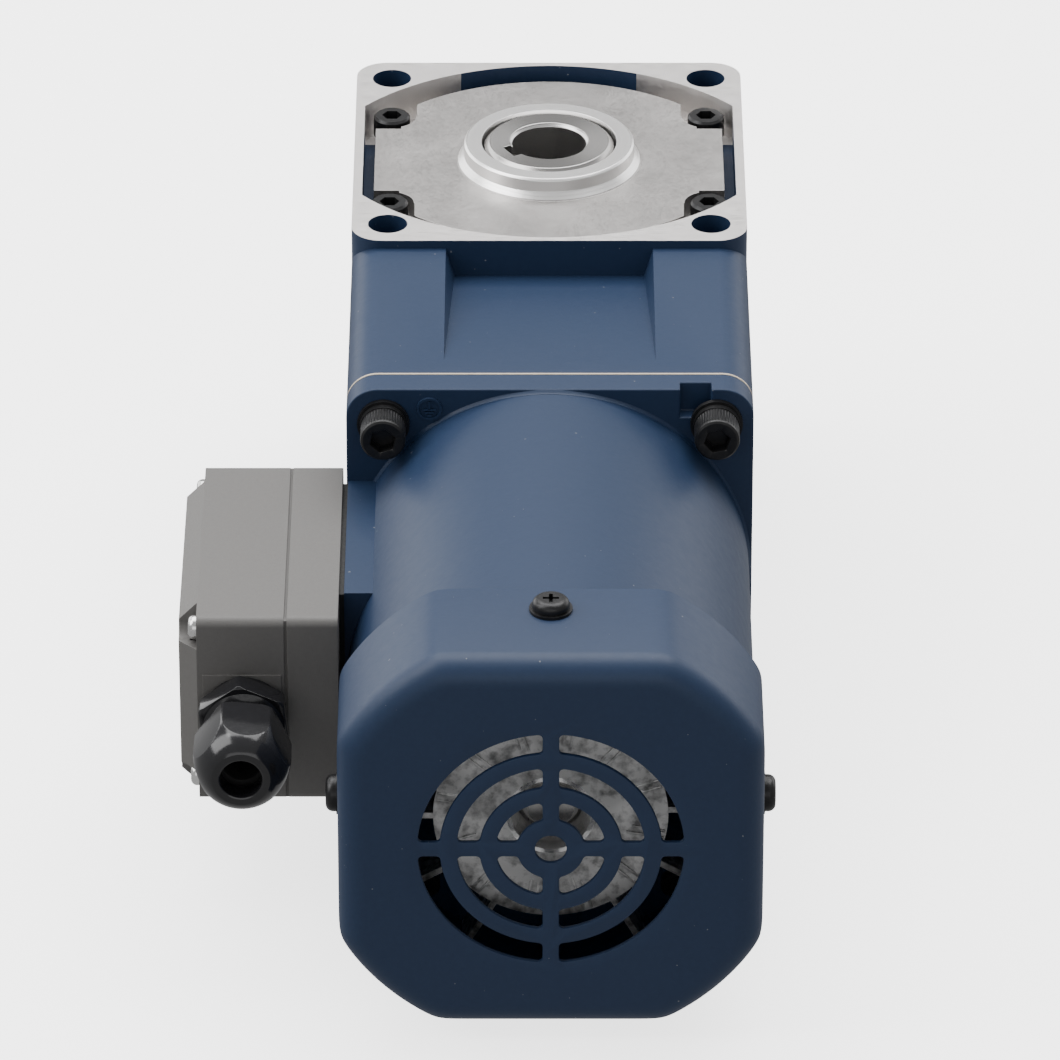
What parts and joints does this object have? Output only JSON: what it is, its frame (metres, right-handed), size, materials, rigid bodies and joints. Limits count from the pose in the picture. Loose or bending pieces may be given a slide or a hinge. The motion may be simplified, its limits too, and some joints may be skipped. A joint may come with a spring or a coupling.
{
  "type": "right-angle gearmotor",
  "caption": "Right-angle gearmotor: square die-cast gearbox with a keyed hollow output shaft, induction motor with fan cowl, and side terminal box with cable gland.",
  "frame": {"origin": "on the axis of the hollow output shaft, in the plane of the milled mounting face", "axes": "+Z out of the mounting face along the output bore; -Y along the motor towards its fan cowl; -X towards the terminal box"},
  "size_m": [0.1284, 0.2767, 0.0974],
  "materials": {
    "navy_paint": "semi-gloss navy paint over die-cast aluminium and pressed steel",
    "bare_aluminium": "bare cast and machined aluminium, satin",
    "turned_steel": "turned and ground steel",
    "gear_steel": "case-hardened steel",
    "lamination_steel": "stacked electrical steel",
    "copper_winding": "varnished copper wire",
    "black_steel": "black oxide steel",
    "zinc_steel": "bright zinc-plated steel",
    "box_plastic": "moulded warm grey plastic, fine texture",
    "terminal_plastic": "moulded black thermoset",
    "gland_nylon": "glossy black nylon",
    "black_rubber": "black nitrile rubber",
    "seam_gasket": "pale fibre gasket"
  },
  "bodies": {
    "casing": {"base_screws": "zinc_steel", "bearing_wave_washer": "gear_steel", "cover_gasket": "seam_gasket", "cover_screws": "black_steel", "cowl_screws": "black_steel", "cowl_washers": "black_steel", "end_shield_screws": "black_steel", "fan_cowl": "navy_paint", "flange_gasket": "seam_gasket", "flange_screws": "black_steel", "flange_spring_washers": "black_steel", "flange_washers": "black_steel", "gear_train_bearing_balls": "gear_steel", "gear_train_bearing_outer_rings": "gear_steel", "gearbox_housing": "navy_paint", "gearbox_rear_plate": "bare_aluminium", "gland_body": "gland_nylon", "gland_locknut": "gland_nylon", "gland_nut": "gland_nylon", "gland_seal": "black_rubber", "gland_washer": "black_rubber", "lid_screws": "zinc_steel", "lid_seal": "black_rubber", "motor_bearing_balls": "gear_steel", "motor_bearing_outer_rings": "gear_steel", "motor_flange": "navy_paint", "motor_shaft_seal": "black_rubber", "output_bearing_balls": "gear_steel", "output_bearing_outer_rings": "gear_steel", "output_cover": "bare_aluminium", "output_seals": "black_rubber", "pinion_bearing_spacer": "gear_steel", "rear_end_shield": "navy_paint", "rear_plate_screws": "black_steel", "stator_core": "lamination_steel", "stator_housing": "navy_paint", "stator_windings": "copper_winding", "terminal_block": "terminal_plastic", "terminal_box_base": "box_plastic", "terminal_box_gasket": "black_rubber", "terminal_box_lid": "box_plastic", "terminal_screws": "zinc_steel"},
    "rotor": {"motor_shaft": "turned_steel", "rotor_core": "lamination_steel", "rotor_end_rings": "bare_aluminium", "motor_bearing_inner_rings": "gear_steel", "cooling_fan": "bare_aluminium", "fan_retaining_ring": "gear_steel"},
    "layshaft_assembly": {"layshaft": "turned_steel", "layshaft_gear": "gear_steel", "layshaft_key": "gear_steel", "layshaft_bearing_inner_rings": "gear_steel"},
    "pinion_assembly": {"bevel_pinion_shaft": "turned_steel", "second_stage_gear": "gear_steel", "second_stage_key": "gear_steel", "pinion_bearing_inner_rings": "gear_steel"},
    "output": {"hollow_output_shaft": "turned_steel", "bevel_ring_gear": "gear_steel", "ring_gear_key": "gear_steel", "output_bearing_inner_rings": "gear_steel"}
  },
  "joints": [
    {"name": "rotor_spin", "type": "hinge", "parent": "casing", "child": "rotor", "pos_m": [0, -0.104, -0.047], "axis": [0, 1, 0], "continuous": true},
    {"name": "layshaft_spin", "type": "hinge", "parent": "casing", "child": "layshaft_assembly", "pos_m": [-0.01697, -0.085, -0.06397], "axis": [0, 1, 0], "continuous": true},
    {"name": "pinion_shaft_spin", "type": "hinge", "parent": "casing", "child": "pinion_assembly", "pos_m": [0, -0.06, -0.047], "axis": [0, 1, 0], "continuous": true},
    {"name": "output_spin", "type": "hinge", "parent": "casing", "child": "output", "pos_m": [0, 0, -0.047], "axis": [0, 0, 1], "continuous": true}
  ],
  "couplings": [
    {"joint": "layshaft_spin", "follows": "rotor_spin", "ratio": -0.33333},
    {"joint": "pinion_shaft_spin", "follows": "rotor_spin", "ratio": 0.13725},
    {"joint": "output_spin", "follows": "rotor_spin", "ratio": -0.045752}
  ]
}
